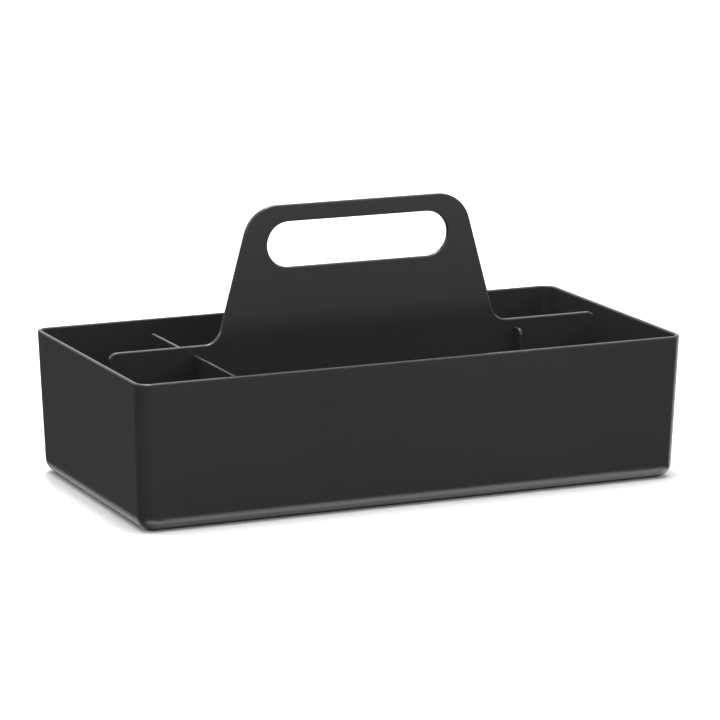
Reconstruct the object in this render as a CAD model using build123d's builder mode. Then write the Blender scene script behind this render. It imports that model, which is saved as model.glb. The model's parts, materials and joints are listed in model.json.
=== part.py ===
from build123d import *

import os
from math import radians, tan

# Tool storage caddy, in millimetres. An open drafted tray carries an upright plate along its middle.
# The plate rises into a carrying handle with an oblong grip slot. Two cross dividers are halved into
# the plate, and four screws from below hold the plate to the tray.
#
# Origin: centre of the rest face under the tray. +X runs along the tray, +Y to its back, +Z up.

# Tray
LENGTH = 325.6  # over the rim
DEPTH = 167.0  # over the rim
RIM_HEIGHT = 81.8
WALL = 2.4
DRAFT = 2.0  # degrees that each side wall leans outwards
RIM_CORNER_RADIUS = 8.2
BASE_CORNER_RADIUS = 8.6
BASE_FILLET = 8.4
CAVITY_FILLET = 6.0
RIM_ROUNDING = 0.8

# Floor of the tray, raised over a shallow recess that hides the screw heads
RECESS_DEPTH = 2.4
FLOOR_THICKNESS = 2.6
FLOOR_TOP = RECESS_DEPTH + FLOOR_THICKNESS
REST_RING_WIDTH = 8.0
RECESS_ROUNDING = 1.0

# Handle plate, an outline in the XZ plane
PLATE_THICKNESS = 2.8
PLATE_HALF_LENGTH = 148.5
PLATE_TOP = 82.0  # of its two low ends
PLATE_END_RADIUS = 4.5
HANDLE_TOP = 157.3
HANDLE_FOOT_HALF_WIDTH = 84.8
HANDLE_TOP_HALF_WIDTH = 64.3
HANDLE_FOOT_RADIUS = 10.0
HANDLE_TOP_RADIUS = 20.0
PLATE_ROUNDING = 0.8
GRIP_LENGTH = 109.6
GRIP_HEIGHT = 25.6
GRIP_CENTRE_HEIGHT = 135.0

# Cross dividers, outlines in the YZ plane, a little lower than the plate
DIVIDER_THICKNESS = 1.8
DIVIDER_ROUNDING = 0.5
DIVIDER_TOP = 77.0
DIVIDER_END_RADIUS = 4.0
DIVIDER_X = 98.2  # the long one is at -X and the short one at +X
DIVIDER_REACH = 68.0  # from the plate to an end that stands clear of the tray's wall
DIVIDER_EAR = 8.4  # from the plate to the short divider's other end

# Halved joints: the plate is slotted from below and each divider from above
JOINT_HEIGHT = 41.0
JOINT_GAP = 0.1

# Low ribs on the tray's floor that keep the dividers' far ends in line
RIB_THICKNESS = 1.2
RIB_LENGTH = 14.0
RIB_HEIGHT = 1.6
RIB_GAP = 0.1
RIB_INSET = 20.0  # from a divider's end to the middle of its ribs

# Screws into round bosses along the foot of the plate
SCREW_XS = (-135.0, -45.0, 45.0, 135.0)
BOSS_RADIUS = 4.0
BOSS_HEIGHT = 16.0
BOSS_ROUNDING = 1.0
BOSS_HOLE_RADIUS = 1.5
BOSS_HOLE_DEPTH = 12.5
FLOOR_HOLE_RADIUS = 1.7
SCREW_RADIUS = 1.45
SCREW_LENGTH = 12.0
SCREW_TIP_CHAMFER = 0.8
HEAD_RADIUS = 2.8
HEAD_HEIGHT = 1.9
HEAD_ROUNDING = 1.0
CROSS_LENGTH = 3.2
CROSS_WIDTH = 0.8
CROSS_DEPTH = 1.1

NEAR = 0.01  # how close counts as level when edges are picked


def lean(height):
    """How far a drafted wall stands inside its rim line at this height."""
    return (RIM_HEIGHT - height) * tan(radians(DRAFT))


def tray_size(height, inset=0):
    """Length and depth of the tray at this height, inset from its outer faces."""
    shrink = 2 * (inset + lean(height))
    return LENGTH - shrink, DEPTH - shrink


def round_rims(piece, radius):
    """Rounds both rims of a flat plate along its outline, except where it stands on the floor."""
    rims = piece.faces().sort_by(SortBy.AREA)[-2:].edges()
    fillet(rims.filter_by(lambda edge: edge.center().Z > FLOOR_TOP + NEAR), radius)


def cross_divider(x, front, back):
    """Upright divider across the tray between two Y values, halved from above for the handle plate."""
    with BuildPart() as divider:
        with BuildSketch(Plane.YZ.offset(x)):
            with BuildLine():
                FilletPolyline(
                    (front, FLOOR_TOP),
                    (front, DIVIDER_TOP),
                    (back, DIVIDER_TOP),
                    (back, FLOOR_TOP),
                    radius=[0, DIVIDER_END_RADIUS, DIVIDER_END_RADIUS, 0],
                    close=True,
                )
            make_face()
        extrude(amount=DIVIDER_THICKNESS / 2, both=True)
        round_rims(divider, DIVIDER_ROUNDING)
        with BuildSketch(Plane.YZ.offset(x)):
            with Locations((0, JOINT_HEIGHT - JOINT_GAP)):
                Rectangle(PLATE_THICKNESS + 2 * JOINT_GAP, DIVIDER_TOP, align=(Align.CENTER, Align.MIN))
        extrude(amount=DIVIDER_THICKNESS, both=True, mode=Mode.SUBTRACT)
    return divider


os.makedirs("parts", exist_ok=True)

# Tray: a lofted shell with a rounded base, then its cavity, the recess below and the screw holes.
with BuildPart() as tray:
    with BuildSketch(Plane.XY):
        RectangleRounded(*tray_size(0), BASE_CORNER_RADIUS)
    with BuildSketch(Plane.XY.offset(RIM_HEIGHT)):
        RectangleRounded(*tray_size(RIM_HEIGHT), RIM_CORNER_RADIUS)
    loft()
    fillet(tray.faces().sort_by(Axis.Z)[0].edges(), BASE_FILLET)

    with BuildSketch(Plane.XY.offset(FLOOR_TOP)):
        RectangleRounded(*tray_size(FLOOR_TOP, WALL), BASE_CORNER_RADIUS - WALL)
    with BuildSketch(Plane.XY.offset(RIM_HEIGHT)):
        RectangleRounded(*tray_size(RIM_HEIGHT, WALL), RIM_CORNER_RADIUS - WALL)
    loft(mode=Mode.SUBTRACT)
    fillet(tray.faces().filter_by(Plane.XY).sort_by(Axis.Z)[1].edges(), CAVITY_FILLET)
    fillet(tray.edges().group_by(Axis.Z)[-1], RIM_ROUNDING)

    with BuildSketch(Plane.XY):
        RectangleRounded(*tray_size(0, BASE_FILLET + REST_RING_WIDTH), BASE_CORNER_RADIUS)
    extrude(amount=RECESS_DEPTH, mode=Mode.SUBTRACT)
    recess_roof = tray.faces().filter_by(Plane.XY).sort_by(Axis.Z)[1]
    fillet(recess_roof.edges(), RECESS_ROUNDING)

    with BuildSketch(Plane.XY.offset(RECESS_DEPTH)):
        with Locations(*[(x, 0) for x in SCREW_XS]):
            Circle(FLOOR_HOLE_RADIUS)
    extrude(amount=FLOOR_THICKNESS, mode=Mode.SUBTRACT)

    with BuildSketch(Plane.XY.offset(FLOOR_TOP)):
        rib_offset = (DIVIDER_THICKNESS + RIB_THICKNESS) / 2 + RIB_GAP
        rib_reach = DIVIDER_REACH - RIB_INSET
        for x, y in ((-DIVIDER_X, -rib_reach), (-DIVIDER_X, rib_reach), (DIVIDER_X, rib_reach)):
            with Locations((x - rib_offset, y), (x + rib_offset, y)):
                Rectangle(RIB_THICKNESS, RIB_LENGTH)
    extrude(amount=RIB_HEIGHT)

tray.part.label = "tray"
export_step(tray.part, "parts/tray.step")

# Handle plate: one outline for the low ends and the trapezoid handle, with the grip slot cut through.
with BuildPart() as handle_plate:
    with BuildSketch(Plane.XZ):
        with BuildLine():
            FilletPolyline(
                (-PLATE_HALF_LENGTH, FLOOR_TOP),
                (-PLATE_HALF_LENGTH, PLATE_TOP),
                (-HANDLE_FOOT_HALF_WIDTH, PLATE_TOP),
                (-HANDLE_TOP_HALF_WIDTH, HANDLE_TOP),
                (HANDLE_TOP_HALF_WIDTH, HANDLE_TOP),
                (HANDLE_FOOT_HALF_WIDTH, PLATE_TOP),
                (PLATE_HALF_LENGTH, PLATE_TOP),
                (PLATE_HALF_LENGTH, FLOOR_TOP),
                radius=[
                    0,
                    PLATE_END_RADIUS,
                    HANDLE_FOOT_RADIUS,
                    HANDLE_TOP_RADIUS,
                    HANDLE_TOP_RADIUS,
                    HANDLE_FOOT_RADIUS,
                    PLATE_END_RADIUS,
                    0,
                ],
                close=True,
            )
        make_face()
        with Locations((0, GRIP_CENTRE_HEIGHT)):
            SlotOverall(GRIP_LENGTH, GRIP_HEIGHT, mode=Mode.SUBTRACT)
    extrude(amount=PLATE_THICKNESS / 2, both=True)
    round_rims(handle_plate, PLATE_ROUNDING)

    with BuildSketch(Plane.XZ):
        with Locations((-DIVIDER_X, FLOOR_TOP), (DIVIDER_X, FLOOR_TOP)):
            Rectangle(
                DIVIDER_THICKNESS + 2 * JOINT_GAP,
                JOINT_HEIGHT - FLOOR_TOP,
                align=(Align.CENTER, Align.MIN),
            )
    extrude(amount=PLATE_THICKNESS, both=True, mode=Mode.SUBTRACT)

    with Locations(*[(x, 0, FLOOR_TOP) for x in SCREW_XS]):
        Cylinder(BOSS_RADIUS, BOSS_HEIGHT, align=(Align.CENTER, Align.CENTER, Align.MIN))
    boss_rims = handle_plate.edges().filter_by(
        lambda edge: abs(edge.center().Z - FLOOR_TOP - BOSS_HEIGHT) < NEAR
    )
    fillet(boss_rims.filter_by(GeomType.CIRCLE), BOSS_ROUNDING)
    with Locations(*[(x, 0, FLOOR_TOP) for x in SCREW_XS]):
        Cylinder(
            BOSS_HOLE_RADIUS,
            BOSS_HOLE_DEPTH,
            align=(Align.CENTER, Align.CENTER, Align.MIN),
            mode=Mode.SUBTRACT,
        )

handle_plate.part.label = "handle_plate"
export_step(handle_plate.part, "parts/handle_plate.step")

# Long divider: crosses the plate and stands clear of the front and back walls.
long_divider = cross_divider(-DIVIDER_X, -DIVIDER_REACH, DIVIDER_REACH)

long_divider.part.label = "long_divider"
export_step(long_divider.part, "parts/long_divider.step")

# Short divider: from a short ear in front of the plate to an end clear of the back wall.
short_divider = cross_divider(DIVIDER_X, -DIVIDER_EAR, DIVIDER_REACH)

short_divider.part.label = "short_divider"
export_step(short_divider.part, "parts/short_divider.step")

# Handle screws: pan-head screws with a cross recess, driven up through the floor into the bosses.
with BuildPart() as handle_screws:
    with Locations(*[(x, 0, RECESS_DEPTH) for x in SCREW_XS]):
        Cylinder(HEAD_RADIUS, HEAD_HEIGHT, align=(Align.CENTER, Align.CENTER, Align.MAX))
        Cylinder(SCREW_RADIUS, SCREW_LENGTH, align=(Align.CENTER, Align.CENTER, Align.MIN))
    fillet(handle_screws.edges().group_by(Axis.Z)[0], HEAD_ROUNDING)
    chamfer(handle_screws.edges().group_by(Axis.Z)[-1], SCREW_TIP_CHAMFER)
    with Locations(*[(x, 0, RECESS_DEPTH - HEAD_HEIGHT) for x in SCREW_XS]):
        for size in ((CROSS_LENGTH, CROSS_WIDTH), (CROSS_WIDTH, CROSS_LENGTH)):
            Box(*size, CROSS_DEPTH, align=(Align.CENTER, Align.CENTER, Align.MIN), mode=Mode.SUBTRACT)

handle_screws.part.label = "handle_screws"
export_step(handle_screws.part, "parts/handle_screws.step")
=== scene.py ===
import json
from math import cos, pi, radians, sin

import bpy
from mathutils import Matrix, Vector

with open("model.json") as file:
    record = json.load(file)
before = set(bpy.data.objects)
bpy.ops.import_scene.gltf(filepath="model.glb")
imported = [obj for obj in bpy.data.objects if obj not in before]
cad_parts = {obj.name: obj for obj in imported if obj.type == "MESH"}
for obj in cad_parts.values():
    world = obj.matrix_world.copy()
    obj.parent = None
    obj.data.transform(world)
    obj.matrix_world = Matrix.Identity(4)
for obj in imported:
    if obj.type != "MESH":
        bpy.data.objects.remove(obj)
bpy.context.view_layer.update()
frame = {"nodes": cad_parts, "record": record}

# Camera: where the caddy is seen from, in degrees and metres.
CAMERA_AZIMUTH = -23.734
CAMERA_ELEVATION = 11.942
CAMERA_DISTANCE = 2.2279
CAMERA_TARGET = Vector((0.0015, 0.0, 0.0656))
CAMERA_LENS = 198.26
CAMERA_SENSOR = 36.0

# The studio round the caddy: soft panels, each with the azimuth of its middle, half its width, and its lowest
# and highest elevation, all in degrees, and its brightness. Azimuth 0 is in front and 90 to the right. The
# brightnesses, the next table's too, were fitted to the photograph's tones and rounded, and a few adjusted.
PANELS = (
    (0, 180, 70, 90, 6.0),  # diffuser overhead
    (0, 180, 50, 70, 1.3),
    (0, 45, 15, 28, 2.4),  # low strips in front and at the sides
    (0, 45, 9, 15, 1.8),
    (90, 45, 15, 28, 3.2),
    (-90, 45, 15, 28, 1.7),
    (-90, 45, 28, 50, 0.7),
    (180, 45, 28, 50, 1.5),  # backdrop
    (180, 45, 15, 28, 0.4),
    (180, 45, 9, 15, 1.9),
    (180, 45, 0, 9, 0.6),
)
# The table as the satin plastic mirrors it, below the horizon: bright close by and along its far edges.
MIRRORED_TABLE = (
    (52, 62, -9, 0, 1.2),
    (24, 90, -60, -33, 2.9),
    (24, 90, -90, -60, 1.0),
    (115, 30, -22, -9, 1.8),
    (-193, 53, -18, -9, 0.1),
    (-193, 53, -35, -20, 0.8),
    (-156, 90, -90, -35, 0.33),
)
PANEL_SOFTNESS = 1.0  # degrees either side of a panel's border

# The two softboxes, in metres
LAMP_DISTANCE = 1.8
LAMP_SIZE = (0.3, 0.45)

# Plastic: linear colours, and the sizes and depths of its texture in metres
PLASTIC_DARK = (0.0283, 0.0284, 0.0298)
PLASTIC_LIGHT = (0.0308, 0.0309, 0.0324)
PLASTIC_WORN = (0.038, 0.0382, 0.0396)
PLASTIC_ROUGHNESS = 0.26
ROUGHNESS_SPREAD = 0.015
WORN_POLISH = 0.03  # how much smoother a worn rim is
EDGE_REACH = 0.0016
WEAR_SIZE = 0.03
FLOW_SIZE = 0.06
HANDLED_SIZE = 0.018
RIPPLE_SIZE, RIPPLE_DEPTH = 0.025, 0.00002
GRAIN_SIZE, GRAIN_DEPTH = 0.0006, 0.000012

# Zinc on the screws, in the same units
ZINC_BLUE = (0.52, 0.55, 0.6)
ZINC_YELLOW = (0.62, 0.59, 0.5)
ZINC_BRIGHT = (0.75, 0.75, 0.74)
ZINC_ROUGHNESS = (0.26, 0.42)
SCREW_EDGE_REACH = 0.0004
CLOUD_SIZE = 0.002
TURNING_SIZE, TURNING_DEPTH = 0.0003, 0.00001

EDGE_SAMPLES = 6
OPEN_EDGE, FLAT_EDGE = 0.5, 0.95  # how open a sharp edge and a flat face look from inside the piece

# The table, in metres, and its matt paint. The patch under the tray that only the plastic mirrors is painted
# dark, as painted shade in place of the shadow beneath the caddy.
FLOOR_HALF_SIZE = (6.0, 6.0)
FLOOR_COLOUR = (0.8, 0.8, 0.8, 1)
BOUNCING_FLOOR_COLOUR = (0.36, 0.36, 0.36, 1)
# Painted shade: the mirrored patch under the tray is given a dark colour to stand for the shadow there
PAINTED_SHADE_FLOOR_COLOUR = (0.1, 0.1, 0.1, 1)
SHADED_FLOOR_HALF_SIZE = (0.1555, 0.0762)  # just inside the tray's lower edge
SHADED_FLOOR_Z = -0.0002
BOUNCING_FLOOR_Z = -0.001
FLOOR_ROUGHNESS = 0.9

bpy.context.scene.view_settings.view_transform = "Standard"


def direction(azimuth, elevation):
    """Unit vector from the caddy towards an azimuth (0 is in front, positive to the right) and elevation."""
    a, e = radians(azimuth), radians(elevation)
    return Vector((sin(a) * cos(e), -cos(a) * cos(e), sin(e)))


def add_camera():
    """Long lens aimed at the middle of the caddy."""
    data = bpy.data.cameras.new("camera")
    data.lens = CAMERA_LENS
    data.sensor_width = CAMERA_SENSOR
    camera = bpy.data.objects.new("camera", data)
    bpy.context.scene.collection.objects.link(camera)
    view = direction(CAMERA_AZIMUTH, CAMERA_ELEVATION)
    camera.location = CAMERA_TARGET + CAMERA_DISTANCE * view
    camera.rotation_euler = view.to_track_quat("Z", "Y").to_euler()
    bpy.context.scene.camera = camera


def add_lamp(name, azimuth, elevation, radiance):
    """Softbox that faces the caddy."""
    width, height = LAMP_SIZE
    data = bpy.data.lights.new(name, "AREA")
    data.shape = "RECTANGLE"
    data.size = width
    data.size_y = height
    data.energy = radiance * pi * width * height
    lamp = bpy.data.objects.new(name, data)
    bpy.context.scene.collection.objects.link(lamp)
    towards = direction(azimuth, elevation)
    lamp.location = towards * LAMP_DISTANCE
    lamp.rotation_euler = towards.to_track_quat("Z", "Y").to_euler()


def add_surround():
    """World light: the sum of the panels, each a soft window in azimuth and elevation."""
    world = bpy.data.worlds.new("studio")
    world.use_nodes = True
    bpy.context.scene.world = world
    tree = world.node_tree
    split = tree.nodes.new("ShaderNodeSeparateXYZ")
    tree.links.new(tree.nodes.new("ShaderNodeTexCoord").outputs["Generated"], split.inputs[0])
    x, y, z = split.outputs
    elevation = math(tree, "ARCSINE", z)
    azimuth = math(tree, "ARCTAN2", x, math(tree, "MULTIPLY", y, -1.0))

    soft = radians(PANEL_SOFTNESS)
    light = 0.0
    for middle, half_width, low, high, brightness in PANELS + MIRRORED_TABLE:
        turn = math(tree, "WRAP", math(tree, "SUBTRACT", azimuth, radians(middle)), pi, -pi)
        aside = math(tree, "ABSOLUTE", turn)
        above = math(tree, "ABSOLUTE", math(tree, "SUBTRACT", elevation, radians((low + high) / 2)))
        width, height = radians(half_width), radians(high - low) / 2
        inside = math(
            tree,
            "MULTIPLY",
            remap(tree, aside, width + soft, width - soft),
            remap(tree, above, height + soft, height - soft, to_high=brightness),
        )
        light = math(tree, "ADD", inside, light)
    background = tree.nodes["Background"]
    background.inputs["Color"].default_value = (1, 1, 1, 1)
    tree.links.new(light, background.inputs["Strength"])


def add_table(name, half_size, colour, z=0.0):
    """Flat matt rectangle about the caddy's middle."""
    mesh = bpy.data.meshes.new(name)
    x, y = half_size
    mesh.from_pydata([(-x, -y, z), (x, -y, z), (x, y, z), (-x, y, z)], [], [(0, 1, 2, 3)])
    table = bpy.data.objects.new(name, mesh)
    bpy.context.scene.collection.objects.link(table)
    material, _, shader, _ = new_material(name)
    shader.inputs["Base Color"].default_value = colour
    shader.inputs["Roughness"].default_value = FLOOR_ROUGHNESS
    shader.inputs["Specular IOR Level"].default_value = 0.0
    mesh.materials.append(material)
    return table


def add_floor():
    """The table as it is seen, in a high-key white, as it lights the caddy from below, and as the plastic
    mirrors it close under the tray, where its colour is painted dark as shade. Further out the plastic
    mirrors MIRRORED_TABLE."""
    seen = add_table("floor", FLOOR_HALF_SIZE, FLOOR_COLOUR)
    seen.visible_glossy = seen.visible_diffuse = seen.visible_shadow = False
    bouncing = add_table("bouncing_floor", FLOOR_HALF_SIZE, BOUNCING_FLOOR_COLOUR, BOUNCING_FLOOR_Z)
    bouncing.visible_camera = bouncing.visible_glossy = False
    # Painted shade: a dark patch, seen only in the plastic's reflections, stands in for the shadow under the
    # tray
    mirrored = add_table("shaded_floor", SHADED_FLOOR_HALF_SIZE, PAINTED_SHADE_FLOOR_COLOUR, SHADED_FLOOR_Z)
    mirrored.visible_camera = mirrored.visible_diffuse = mirrored.visible_shadow = False


def new_material(name):
    """A material with its node tree and shader, and where on the object a point is, in metres."""
    material = bpy.data.materials.new(name)
    material.use_nodes = True
    tree = material.node_tree
    where = tree.nodes.new("ShaderNodeTexCoord").outputs["Object"]
    return material, tree, tree.nodes["Principled BSDF"], where


def noise(tree, where, size, detail=2.0, stretch=(1, 1, 1)):
    """Noise whose blotches are about this large, in metres. A stretch makes them longer along an axis."""
    mapping = tree.nodes.new("ShaderNodeMapping")
    mapping.inputs["Scale"].default_value = [1 / (size * factor) for factor in stretch]
    tree.links.new(where, mapping.inputs["Vector"])
    texture = tree.nodes.new("ShaderNodeTexNoise")
    texture.inputs["Scale"].default_value = 1.0
    texture.inputs["Detail"].default_value = detail
    tree.links.new(mapping.outputs[0], texture.inputs["Vector"])
    return texture.outputs["Fac"]


def remap(tree, value, low, high, to_low=0.0, to_high=1.0):
    """Takes low..high to to_low..to_high and holds the ends."""
    node = tree.nodes.new("ShaderNodeMapRange")
    for socket, number in zip(("From Min", "From Max", "To Min", "To Max"), (low, high, to_low, to_high)):
        node.inputs[socket].default_value = number
    tree.links.new(value, node.inputs["Value"])
    return node.outputs["Result"]


def math(tree, operation, *values):
    """The result of a Math node on other nodes' outputs and plain numbers."""
    node = tree.nodes.new("ShaderNodeMath")
    node.operation = operation
    for socket, value in zip(node.inputs, values):
        if isinstance(value, (int, float)):
            socket.default_value = value
        else:
            tree.links.new(value, socket)
    return node.outputs[0]


def mix_colours(tree, factor, first, second):
    """First colour at factor 0, second at 1. Each is a node's output or a linear colour."""
    node = tree.nodes.new("ShaderNodeMix")
    node.data_type = "RGBA"
    tree.links.new(factor, node.inputs["Factor"])
    for socket, colour in ((node.inputs[6], first), (node.inputs[7], second)):
        if isinstance(colour, tuple):
            socket.default_value = (*colour, 1)
        else:
            tree.links.new(colour, socket)
    return node.outputs[2]


def bump(tree, height, depth, normal=None):
    """Relief of this depth in metres, on top of another relief if one is given."""
    node = tree.nodes.new("ShaderNodeBump")
    node.inputs["Distance"].default_value = depth
    tree.links.new(height, node.inputs["Height"])
    if normal:
        tree.links.new(normal, node.inputs["Normal"])
    return node.outputs[0]


def convex_edges(tree, reach):
    """1 along the rims and other outward edges, within this reach in metres, and 0 on flat faces."""
    hollow = tree.nodes.new("ShaderNodeAmbientOcclusion")
    hollow.inside = True
    hollow.only_local = True
    hollow.samples = EDGE_SAMPLES
    hollow.inputs["Distance"].default_value = reach
    return remap(tree, hollow.outputs["AO"], FLAT_EDGE, OPEN_EDGE)


def moulded_plastic():
    """Satin dark grey plastic with a fine spark-eroded texture, polished a little along its rims."""
    material, tree, shader, where = new_material("moulded_plastic")
    edge = convex_edges(tree, EDGE_REACH)
    patches = noise(tree, where, WEAR_SIZE, detail=4)
    wear = math(tree, "MULTIPLY", edge, remap(tree, patches, 0.35, 0.65, 0.3, 1.0))

    flow = noise(tree, where, FLOW_SIZE, stretch=(3, 1, 1))
    colour = mix_colours(tree, remap(tree, flow, 0.3, 0.7), PLASTIC_DARK, PLASTIC_LIGHT)
    tree.links.new(mix_colours(tree, wear, colour, PLASTIC_WORN), shader.inputs["Base Color"])

    handled = noise(tree, where, HANDLED_SIZE, detail=3)
    rough = remap(tree, handled, 0.2, 0.8, -ROUGHNESS_SPREAD, ROUGHNESS_SPREAD)
    rough = math(tree, "ADD", rough, PLASTIC_ROUGHNESS)
    rough = math(tree, "SUBTRACT", rough, math(tree, "MULTIPLY", wear, WORN_POLISH))
    tree.links.new(rough, shader.inputs["Roughness"])

    ripple = bump(tree, noise(tree, where, RIPPLE_SIZE), RIPPLE_DEPTH)
    grain = bump(tree, noise(tree, where, GRAIN_SIZE, detail=3), GRAIN_DEPTH, normal=ripple)
    tree.links.new(grain, shader.inputs["Normal"])
    return material


def zinc_plate():
    """Bright zinc on the screws, a little cloudy, with fine turning marks round each head."""
    material, tree, shader, where = new_material("zinc_plate")
    shader.inputs["Metallic"].default_value = 1.0
    cloud = noise(tree, where, CLOUD_SIZE, detail=3)
    colour = mix_colours(tree, remap(tree, cloud, 0.3, 0.7), ZINC_BLUE, ZINC_YELLOW)
    worn = convex_edges(tree, SCREW_EDGE_REACH)
    tree.links.new(mix_colours(tree, worn, colour, ZINC_BRIGHT), shader.inputs["Base Color"])
    tree.links.new(remap(tree, cloud, 0.3, 0.7, *ZINC_ROUGHNESS), shader.inputs["Roughness"])
    turned = noise(tree, where, TURNING_SIZE, stretch=(1, 1, 4))
    tree.links.new(bump(tree, turned, TURNING_DEPTH), shader.inputs["Normal"])
    return material


add_camera()
add_surround()
add_floor()
add_lamp("lamp_overhead", azimuth=0, elevation=90, radiance=28)
add_lamp("lamp_behind", azimuth=180, elevation=70, radiance=34)
finishes = {"body_plastic": moulded_plastic(), "screw_steel": zinc_plate()}
for subpart in frame["record"]["subparts"]:
    surface = frame["nodes"][subpart["node"]].data
    surface.materials.clear()
    surface.materials.append(finishes[subpart["material_slot"]])
